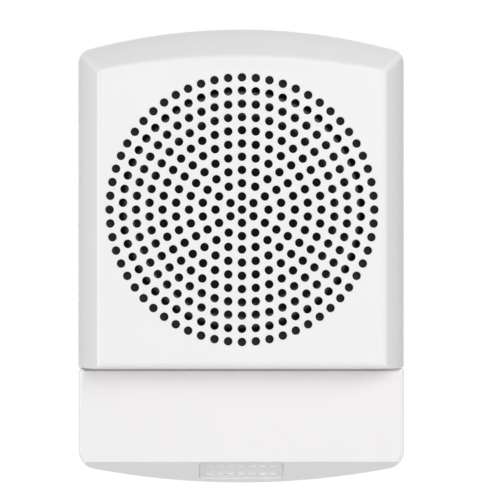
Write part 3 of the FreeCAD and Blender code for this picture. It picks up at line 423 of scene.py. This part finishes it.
def metal_braid():
    """Tinsel strands laid in two crossing directions."""
    finish = Finish("tinsel_braid", (0.62, 0.36, 0.2), 0.32, 1.0)
    one_way = finish.bands(0.2 * MM, "DIAGONAL")
    other_way = finish.bands(0.2 * MM, "DIAGONAL", where=finish.stretched(-1, 1, 1))
    braid = finish.math("MAXIMUM", one_way, other_way)
    finish.tint(braid, (0.2, 0.09, 0.04), (0.80, 0.54, 0.36))
    finish.roughen(braid, 0.42, 0.26)
    finish.relief((braid, 0.05 * MM))
    return finish.material


MATERIALS = {
    "white_plastic": moulded("white_plastic", (0.857, 0.842, 0.848), 0.40),
    "badge_plastic": moulded("badge_plastic", (0.845, 0.83, 0.835), 0.26, grain=0.2 * MM,
                             depth=0.001 * MM),
    "frame_plastic": moulded("frame_plastic", (0.70, 0.70, 0.695), 0.5, grain=0.7 * MM,
                             depth=0.008 * MM, tone=0.03),
    "galvanised_steel": galvanised(),
    "black_steel": painted_steel(),
    "zinc_steel": zinc_plated(),
    "ferrite": sintered_ferrite(),
    "black_paper": pressed_paper(),
    "black_rubber": rubber_edge(),
    "grey_foam": open_foam(),
    "spider_cloth": resin_cloth(),
    "coil_former": foil_former(),
    "copper_wire": enamelled_wire(),
    "brass": copper_alloy("brass", (0.86, 0.65, 0.30), (0.60, 0.40, 0.17), 0.26),
    "spring_bronze": copper_alloy("spring_bronze", (0.80, 0.50, 0.26), (0.50, 0.27, 0.12), 0.3),
    "terminal_plastic": moulded("terminal_plastic", (0.02, 0.25, 0.10), 0.38, tone=0.08),
    "board_green": solder_mask(),
    "phenolic_brown": paper_laminate(),
    "component_black": moulded("component_black", (0.03, 0.03, 0.033), 0.5, grain=0.25 * MM,
                               depth=0.004 * MM, tone=0.2),
    "capacitor_sleeve": shrink_sleeve(),
    "core_steel": stacked_steel(),
    "winding_tape": polyester_tape(),
    "connector_nylon": moulded("connector_nylon", (0.80, 0.78, 0.68), 0.42, tone=0.04),
    "red_insulation": wire_insulation("red_insulation", (0.50, 0.012, 0.012)),
    "black_insulation": wire_insulation("black_insulation", (0.022, 0.022, 0.024)),
    "tinsel_braid": metal_braid(),
    "switch_red": moulded("switch_red", (0.48, 0.02, 0.015), 0.36, tone=0.08),
    "switch_white": moulded("switch_white", (0.82, 0.82, 0.79), 0.36, tone=0.03),
    "washer_nylon": moulded("washer_nylon", (0.84, 0.83, 0.76), 0.42, tone=0.04),
}


def paint_cad_nodes():
    """Gives every CAD node the finish of its material slot."""
    for subpart in frame["record"]["subparts"]:
        node = frame["nodes"][subpart["node"]]
        node.data.materials.clear()
        node.data.materials.append(MATERIALS[subpart["material_slot"]])


# ---------------------------------------------------------------- mesh helpers

def piece(name, vertices, faces, slot, smooth_below=math.radians(40)):
    """New mesh object with a material slot's finish, smooth except at sharp edges."""
    mesh = bpy.data.meshes.new(name)
    mesh.from_pydata([tuple(v) for v in vertices], [], faces)
    mesh.validate()
    work = bmesh.new()
    work.from_mesh(mesh)
    bmesh.ops.remove_doubles(work, verts=work.verts, dist=1e-7)
    bmesh.ops.dissolve_degenerate(work, edges=work.edges, dist=1e-7)
    bmesh.ops.recalc_face_normals(work, faces=work.faces)
    for edge in work.edges:
        edge.smooth = len(edge.link_faces) == 2 and edge.calc_face_angle(0) < smooth_below
    for face in work.faces:
        face.smooth = True
    work.to_mesh(mesh)
    work.free()
    mesh.materials.append(MATERIALS[slot])
    made = bpy.data.objects.new(name, mesh)
    bpy.context.scene.collection.objects.link(made)
    return made


def ring_faces(rows, count, closed_rows=False):
    """Quads between rows of count points each, every row a closed loop."""
    faces = []
    for row in range(rows if closed_rows else rows - 1):
        below = ((row + 1) % rows) * count
        for i in range(count):
            j = (i + 1) % count
            faces.append((row * count + i, row * count + j, below + j, below + i))
    return faces


def revolved(name, profile, slot, steps=144):
    """Ring about the loudspeaker's axis from a closed loop of (radius, y) points."""
    vertices = []
    for radius, y in profile:
        for i in range(steps):
            turn = FULL_TURN * i / steps
            vertices.append((radius * math.cos(turn), y, radius * math.sin(turn)))
    return piece(name, vertices, ring_faces(len(profile), steps, closed_rows=True), slot)


def rounded_rectangle(half_x, half_y, corner, per_corner=6):
    """Points round a rounded rectangle, anticlockwise."""
    points = []
    for quarter, (sx, sy) in enumerate(((1, 1), (-1, 1), (-1, -1), (1, -1))):
        for i in range(per_corner + 1):
            turn = math.pi / 2 * (quarter + i / per_corner)
            points.append((sx * (half_x - corner) + corner * math.cos(turn),
                           sy * (half_y - corner) + corner * math.sin(turn)))
    return points


def raised_pad(half_x, half_y, corner, steps, middle=(0.0, 0.0)):
    """Closed pad whose outline steps inward by (inset, height) pairs; points and faces."""
    vertices = []
    for inset, height in steps:
        for x, y in rounded_rectangle(half_x - inset, half_y - inset, max(corner - inset, 1e-5)):
            vertices.append(Vector((x + middle[0], y + middle[1], height)))
    count = len(vertices) // len(steps)
    faces = ring_faces(len(steps), count)
    faces.append(tuple(reversed(range(count))))
    faces.append(tuple(range(count * (len(steps) - 1), count * len(steps))))
    return vertices, faces


def gathered(parts):
    """One list of points and one of faces from several."""
    vertices = []
    faces = []
    for more_vertices, more_faces in parts:
        offset = len(vertices)
        vertices += more_vertices
        faces += [tuple(i + offset for i in face) for face in more_faces]
    return vertices, faces


# ---------------------------------------------------------------- badge on the chin

def name_badge():
    """Moulded badge sunk in the chin: a thin lip, a shelf, a lower field and plain raised bars."""
    low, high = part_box("name_badge")
    middle = (low + high) / 2
    half_x = (high.x - low.x) / 2
    top = 1.10 * MM                       # the CAD badge's full thickness
    lip, shelf, sheet, bar_top = 0.94 * MM, 0.28 * MM, 0.10 * MM, 0.62 * MM
    height = ((high.z - low.z) - top * math.cos(CHIN_SLOPE)) / math.sin(CHIN_SLOPE)
    half_y = height / 2
    lip_width, shelf_width, slope = 0.12 * MM, 1.1 * MM, 0.1 * MM
    bar_root, bar_draft, bar_round = 0.1 * MM, 0.08 * MM, 0.06 * MM
    shelf_start = lip_width + slope
    plate = raised_pad(half_x, half_y, 1.6 * MM, [
        (0, 0), (0, lip), (lip_width, lip), (shelf_start, shelf),
        (shelf_width, shelf), (shelf_width + slope, sheet)])
    parts = [plate]
    bars = 7
    bar_pitch, rows = 3.9 * MM, (-3.6 * MM, 2.2 * MM)
    bar_half_x, bar_half_y = 1.3 * MM, 0.6 * MM
    for i in range(bars):
        x = (i - (bars - 1) / 2) * bar_pitch
        for y in rows:
            parts.append(raised_pad(bar_half_x, bar_half_y, 0.3 * MM, [
                (0, sheet - bar_root), (bar_draft, bar_top - bar_round),
                (bar_draft + bar_round, bar_top)], middle=(x, y)))
    uphill = Vector((0, -math.cos(CHIN_SLOPE), math.sin(CHIN_SLOPE)))
    outward = Vector((1, 0, 0)).cross(uphill)
    lie = Matrix((Vector((1, 0, 0)), uphill, outward)).transposed().to_4x4()
    lie.translation = middle - outward * (top / 2)
    vertices, faces = gathered(parts)
    badge = piece("name_badge_moulding", [lie @ v for v in vertices], faces, "badge_plastic")
    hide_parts("name_badge")
    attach(badge, "head")


# ---------------------------------------------------------------- loudspeaker's moving parts

def radial_blend(thing, fixed_radius, moving_radius):
    """Lets a disc bend between the head outside one radius and the cone inside another."""
    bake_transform(thing, "head", "cone", (fixed_radius, 0, 0), (moving_radius, 0, 0))
    weights = thing.data.attributes["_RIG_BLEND"].data
    for vertex, weight in zip(thing.data.vertices, weights):
        radius = math.hypot(vertex.co.x, vertex.co.z)
        t = (fixed_radius - radius) / (fixed_radius - moving_radius)
        t = min(max(t, 0.0), 1.0)
        weight.value = t * t * (3 - 2 * t)


def skin_about_axis(name, front, thickness, slot):
    """Revolved skin from the (radius, y) points of its front surface, thick on its back."""
    back = [(radius, y + thickness) for radius, y in reversed(front)]
    return revolved(name, front + back, slot)


def roll_surround():
    """Rubber half-roll with rounded shoulders, glued to the cone under a glossy band."""
    low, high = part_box("surround")
    skin = 0.5 * MM
    flat_y = high.y - skin
    roll_height = flat_y - low.y
    shoulder_y = flat_y - 0.04 * MM
    flange, flange_middle, inner_shoulder = 34.4 * MM, 37.0 * MM, 39.2 * MM
    inner, outer = 40.2 * MM, 44.2 * MM
    outer_shoulder, rim = 44.5 * MM, 45.0 * MM
    moving = 39.6 * MM                    # inside this radius the roll moves with the cone
    front = [(flange, flat_y), (flange_middle, flat_y), (inner_shoulder, shoulder_y)]
    steps = 24
    for i in range(1, steps):
        turn = math.pi * i / steps
        radius = (inner + outer) / 2 - (outer - inner) / 2 * math.cos(turn)
        front.append((radius, flat_y - roll_height * math.sin(turn)))
    front += [(outer_shoulder, shoulder_y), (rim, flat_y), (high.x, flat_y)]
    roll = skin_about_axis("surround_roll", front, skin, "black_rubber")
    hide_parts("surround")
    radial_blend(roll, outer, moving)

    crest, foot, back, steps = 36.9 * MM, 39.3 * MM, 35.7 * MM, 8
    steep, shallow = 31, 18
    sunk_y = flat_y + 0.1 * MM
    step = (foot - crest) / steps
    band = [(foot, sunk_y), (foot, flat_y)]
    for i in range(steps):
        slope = math.radians(steep + (shallow - steep) * i / (steps - 1))
        radius, y = band[-1]
        band.append((radius - step, y - step * math.tan(slope)))
    band.append((back, sunk_y))
    glue = revolved("surround_glue_band", band, "black_rubber")
    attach(glue, "cone")


def corrugated_spider():
    """Resin-stiffened cloth with rolled corrugations between its flat neck and flat rim."""
    low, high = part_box("spider")
    skin = 0.5 * MM
    flat_y = high.y - skin
    wave_height = flat_y - low.y
    inner, outer = 10.15 * MM, high.x
    first, last, pitch = 11.5 * MM, 22.4 * MM, 2.725 * MM
    steps = 96
    front = []
    for i in range(steps + 1):
        radius = inner + (outer - inner) * i / steps
        wave = 0.0
        if first < radius < last:
            wave = 0.5 - 0.5 * math.cos(FULL_TURN * (radius - first) / pitch)
        front.append((radius, flat_y - wave_height * wave))
    cloth = skin_about_axis("spider_corrugated", front, skin, "spider_cloth")
    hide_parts("spider")
    radial_blend(cloth, last, first)


def rounded_path(corners, bend, step):
    """Points along straight runs with a round bend at every corner."""
    longest, bend_steps = 0.45, 8         # a bend's setback as a share of the run beside it
    points = [corners[0]]
    for before, corner, after in zip(corners, corners[1:], corners[2:]):
        into = (corner - before).normalized()
        out = (after - corner).normalized()
        setback = min(bend, (corner - before).length * longest, (after - corner).length * longest)
        start, end = corner - into * setback, corner + out * setback
        for i in range(bend_steps + 1):
            t = i / bend_steps
            points.append(start * (1 - t) ** 2 + corner * 2 * t * (1 - t) + end * t * t)
    points.append(corners[-1])
    spaced = [points[0]]
    for a, b in zip(points, points[1:]):
        count = max(1, round((b - a).length / step))
        spaced += [a.lerp(b, (i + 1) / count) for i in range(count)]
    return spaced


def stranded_tube(points, radius, strands, lay, count=18):
    """Twisted lead along a path; its outline has one lobe for each strand."""
    ripple = 0.14                         # height of the lobes, as a share of the radius
    vertices = []
    side = Vector((1, 0, 0))
    travelled = 0.0
    for n, point in enumerate(points):
        ahead = points[min(n + 1, len(points) - 1)] - points[max(n - 1, 0)]
        ahead.normalize()
        side = (side - ahead * side.dot(ahead)).normalized()
        across = ahead.cross(side)
        if n:
            travelled += (point - points[n - 1]).length
        for i in range(count):
            turn = FULL_TURN * i / count
            lobe = math.cos(strands * (turn + FULL_TURN * travelled / lay))
            reach = radius * (1 - ripple + ripple * lobe)
            vertices.append(point + side * (reach * math.cos(turn)) + across * (reach * math.sin(turn)))
    faces = ring_faces(len(points), count)
    faces.append(tuple(range(count)))
    faces.append(tuple(reversed(range(count * (len(points) - 1), count * len(points)))))
    return vertices, faces


def braided_leads():
    """The two limp tinsel leads, bending between the basket and the cone."""
    low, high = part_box("tinsel_leads")
    radius = 0.35 * MM
    lead_x = high.x - radius
    lug_y, cone_y, dip_y = low.y + radius, -36.7 * MM, high.y - radius
    lug_z, leave_z, dip_z, rise_z, cone_z = (
        low.z + 0.05 * MM, -43 * MM, -35 * MM, -26 * MM, high.z - 0.25 * MM)
    follow_z = -23 * MM                   # from here on the leads move with the cone
    strands, lay = 5, 9 * MM
    parts = []
    for x in (-lead_x, lead_x):
        corners = [Vector((x, lug_y, lug_z)), Vector((x, lug_y + 0.45 * MM, leave_z)),
                   Vector((x, dip_y, dip_z)), Vector((x, dip_y - 0.2 * MM, rise_z)),
                   Vector((x, cone_y, cone_z))]
        path = rounded_path(corners, 2.0 * MM, 0.25 * MM)
        parts.append(stranded_tube(path, radius, strands, lay))
    vertices, faces = gathered(parts)
    leads = piece("tinsel_braids", vertices, faces, "tinsel_braid")
    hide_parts("tinsel_leads")
    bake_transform(leads, "head", "cone", (0, 0, leave_z), (0, 0, follow_z))


# ---------------------------------------------------------------- hardware

def lock_screw_thread():
    """Helical ridge on the upper part of the lock screw's shank."""
    low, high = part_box("lock_screw")
    axis_y = (low.y + high.y) / 2
    shank, crest = 1.46 * MM, 1.62 * MM
    bottom, top = -90.0 * MM, high.z - 0.6 * MM
    half_ridge = 0.26                     # of the pitch
    per_turn = 36
    run_out = 12                          # steps in which the ridge fades at each end
    count = round((top - bottom) / THREAD_PITCH * per_turn)
    vertices = []
    for i in range(count + 1):
        turn = FULL_TURN * i / per_turn
        z = bottom + THREAD_PITCH * i / per_turn
        fade = min(1.0, i / run_out, (count - i) / run_out)
        for radius, rise in ((shank, -half_ridge), (shank + (crest - shank) * fade, 0.0),
                             (shank, half_ridge)):
            vertices.append((radius * math.cos(turn), axis_y + radius * math.sin(turn),
                             z + rise * THREAD_PITCH))
    faces = ring_faces(count + 1, 3)
    faces += [(0, 1, 2), (3 * count + 2, 3 * count + 1, 3 * count)]
    thread = piece("lock_screw_thread", vertices, faces, "zinc_steel")
    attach(thread, "lock_screw")


def turned_ring(centre, radius, section, steps=48):
    """Ring square to the wall: (radius offset, y offset) section about a centre point."""
    vertices = []
    for across, along in section:
        for i in range(steps):
            turn = FULL_TURN * i / steps
            vertices.append(Vector((centre.x + (radius + across) * math.cos(turn), centre.y + along,
                                    centre.z + (radius + across) * math.sin(turn))))
    return vertices, ring_faces(len(section), steps, closed_rows=True)


def arch_section(width, height, sink, steps=8):
    """Closed low arch for a pressed ridge; its feet sink into the sheet."""
    points = [(-width / 2, sink)]
    for i in range(steps + 1):
        turn = math.pi * i / steps
        points.append((-width / 2 * math.cos(turn), -height * math.sin(turn)))
    points.append((width / 2, sink))
    return points


def plate_pressings():
    """Pressed ridges on the wall plate's front: round its opening and its screw holes."""
    face = -2.5 * MM
    sink = 0.3 * MM
    round_opening, round_hole = 30.0 * MM, 4.4 * MM
    parts = [turned_ring(Vector((0, face, 0)), round_opening,
                         arch_section(3.0 * MM, 0.7 * MM, sink), steps=128)]
    box_screw, gang_screw = 35.92 * MM, 41.67 * MM
    spots = [(sx * box_screw, sz * box_screw) for sx in (-1, 1) for sz in (-1, 1)]
    spots += [(0, gang_screw), (0, -gang_screw)]
    for x, z in spots:
        parts.append(turned_ring(Vector((x, face, z)), round_hole,
                                 arch_section(1.2 * MM, 0.35 * MM, sink)))
    vertices, faces = gathered(parts)
    ridges = piece("wall_plate_pressings", vertices, faces, "galvanised_steel")
    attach(ridges, "wall_plate")


def rib_section(width, height, sink):
    """Closed section of a moulded rib with rounded corners, standing towards the wall."""
    half = width / 2
    corner = width * 0.25
    return [(-half, -sink), (-half, height - corner), (-half + corner * 0.3, height - corner * 0.3),
            (-half + corner, height), (half - corner, height),
            (half - corner * 0.3, height - corner * 0.3), (half, height - corner), (half, -sink)]


def rear_cover_ribs():
    """Moulded ribs and ejector marks on the rear cover's outer face."""
    face = -8.0 * MM
    sink = 0.3 * MM
    ring, ejector_pin = 34.4 * MM, 2.2 * MM
    parts = [turned_ring(Vector((0, face, 0)), ring, rib_section(1.6 * MM, 1.0 * MM, sink),
                         steps=128)]
    for x, z in ((-47, 20), (47, 20), (-47, -20), (47, -20), (-33, -52), (33, -52)):
        parts.append(turned_ring(Vector((x * MM, face, z * MM)), ejector_pin,
                                 rib_section(0.35 * MM, 0.12 * MM, sink)))
    vertices, faces = gathered(parts)
    ribs = piece("rear_cover_ribs", vertices, faces, "frame_plastic")
    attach(ribs, "head")


def ease_edges():
    """Small rounds on the hard edges of CAD parts that the front view doesn't show."""
    for node, width in (("mounting_plate", 0.25), ("rear_cover", 0.35), ("terminal_block", 0.3),
                        ("speaker_basket", 0.2), ("terminal_screws", 0.15), ("lock_screw", 0.15),
                        ("transformer_core", 0.15), ("speaker_header", 0.15), ("dip_switch", 0.15)):
        thing = frame["nodes"][node]
        weld = thing.modifiers.new("weld", "WELD")
        weld.merge_threshold = 0.002 * MM
        bevel = thing.modifiers.new("bevel", "BEVEL")
        bevel.width = width * MM
        bevel.segments = 2
        bevel.limit_method = "ANGLE"
        bevel.angle_limit = math.radians(50)
        bevel.harden_normals = True
        bevel.use_clamp_overlap = True


# ---------------------------------------------------------------- camera, light and floor

def place_camera():
    """Long lens, level with the front and a touch to its left."""
    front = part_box("grille_cover")[0].y
    distance = 1.5
    yaw = math.radians(0.8)
    right, up = 2.9 * MM, 2.2 * MM        # from the object's middle to the picture's
    aim = Vector((right, front, (cad_low.z + cad_high.z) / 2 + up))
    back = Vector((-math.sin(yaw), -math.cos(yaw), 0))
    data = bpy.data.cameras.new("camera")
    data.lens = 298
    data.sensor_width = 36
    data.dof.use_dof = False
    camera = bpy.data.objects.new("camera", data)
    bpy.context.scene.collection.objects.link(camera)
    camera.location = aim + back * distance
    camera.rotation_euler = (-back).to_track_quat("-Z", "Y").to_euler()
    bpy.context.scene.camera = camera


def soft_light(name, azimuth, elevation, distance, size, share):
    """Square softbox aimed at the object; azimuth 0 is in front and 90 to its right.

    A white card that faces it, and gets no other light, looks that share of full white.
    """
    turn, lift = math.radians(azimuth), math.radians(elevation)
    away = Vector((math.sin(turn) * math.cos(lift), -math.cos(turn) * math.cos(lift),
                   math.sin(lift)))
    data = bpy.data.lights.new(name, "AREA")
    data.shape = "SQUARE"
    data.size = size
    data.energy = math.pi ** 2 * share * distance ** 2
    light = bpy.data.objects.new(name, data)
    light.location = away * distance
    light.rotation_euler = away.to_track_quat("Z", "Y").to_euler()
    light.visible_camera = False
    bpy.context.scene.collection.objects.link(light)


def studio_world():
    """White to the camera, an even dim fill for lighting, and brighter in reflections.

    A dark band at the object's height behind it, seen only in reflections, draws the thin
    grey outline that white plastic has against white.
    """
    world = bpy.data.worlds.new("studio")
    bpy.context.scene.world = world
    world.use_nodes = True
    nodes = Nodes(world.node_tree)
    fill, brighter, darker = 0.53, 0.5, 1.4    # the last two are shares of the first

    path = nodes.add("ShaderNodeLightPath")
    y, z = nodes.parts(nodes.add("ShaderNodeTexCoord").outputs["Generated"])[1:]
    behind = nodes.spread(y, 0.0, 0.4)
    level = nodes.spread(nodes.math("ABSOLUTE", z), 0.35, 0.2)
    band = nodes.math("MULTIPLY", nodes.math("MULTIPLY", behind, level), darker)
    gain = nodes.math("MULTIPLY", path.outputs["Is Glossy Ray"],
                      nodes.math("SUBTRACT", brighter, band))
    lighting = nodes.math("MULTIPLY", fill, nodes.math("ADD", 1.0, gain))
    seen = path.outputs["Is Camera Ray"]
    unseen = nodes.math("SUBTRACT", 1.0, seen)
    strength = nodes.math("ADD", nodes.math("MULTIPLY", lighting, unseen), seen)
    background = nodes.tree.nodes["Background"]
    background.inputs["Color"].default_value = (1, 1, 1, 1)
    nodes.join(strength, background.inputs["Strength"])


def pale_floor():
    """Round floor under the object that fades into the white room and is open from below."""
    radius = 0.6
    drop = 60 * MM
    count = 96
    level = cad_low.z - drop
    mesh = bpy.data.meshes.new("floor")
    turns = [FULL_TURN * i / count for i in range(count)]
    points = [(radius * math.cos(turn), radius * math.sin(turn), level) for turn in turns]
    mesh.from_pydata(points, [], [tuple(range(count))])
    finish = Finish("floor", (0.86, 0.86, 0.86), 0.7)
    finish.shade(finish.noise(40 * MM, detail=3), 0.01)
    x, y = finish.parts(finish.place)[:2]
    out = finish.math("DIVIDE", finish.length(x, y), radius)
    fade = finish.spread(out, 0.35, 0.98)
    from_below = finish.add("ShaderNodeNewGeometry").outputs["Backfacing"]
    mix = finish.add("ShaderNodeMixShader")
    finish.join(finish.math("MAXIMUM", fade, from_below), mix.inputs["Fac"])
    finish.join(finish.shader.outputs[0], mix.inputs[1])
    finish.join(finish.add("ShaderNodeBsdfTransparent").outputs[0], mix.inputs[2])
    finish.join(mix.outputs[0], finish.tree.nodes["Material Output"].inputs["Surface"])
    mesh.materials.append(finish.material)
    floor = bpy.data.objects.new("floor", mesh)
    bpy.context.scene.collection.objects.link(floor)


# ---------------------------------------------------------------- the scene

place_camera()
studio_world()
# azimuth and elevation in degrees, distance and size in metres, share of full white
soft_light("key", 10, 16, 1.6, 0.85, 0.262)
soft_light("left", -75, -5, 1.4, 0.7, 0.345)
soft_light("right", 50, 20, 1.5, 0.8, 0.225)
soft_light("top", 30, 75, 1.5, 0.8, 0.035)
soft_light("back", 180, 4, 1.6, 0.8, 0.30)
pale_floor()
bpy.context.scene.view_settings.view_transform = "Standard"

paint_cad_nodes()
ease_edges()
name_badge()
roll_surround()
corrugated_spider()
braided_leads()
lock_screw_thread()
plate_pressings()
rear_cover_ribs()
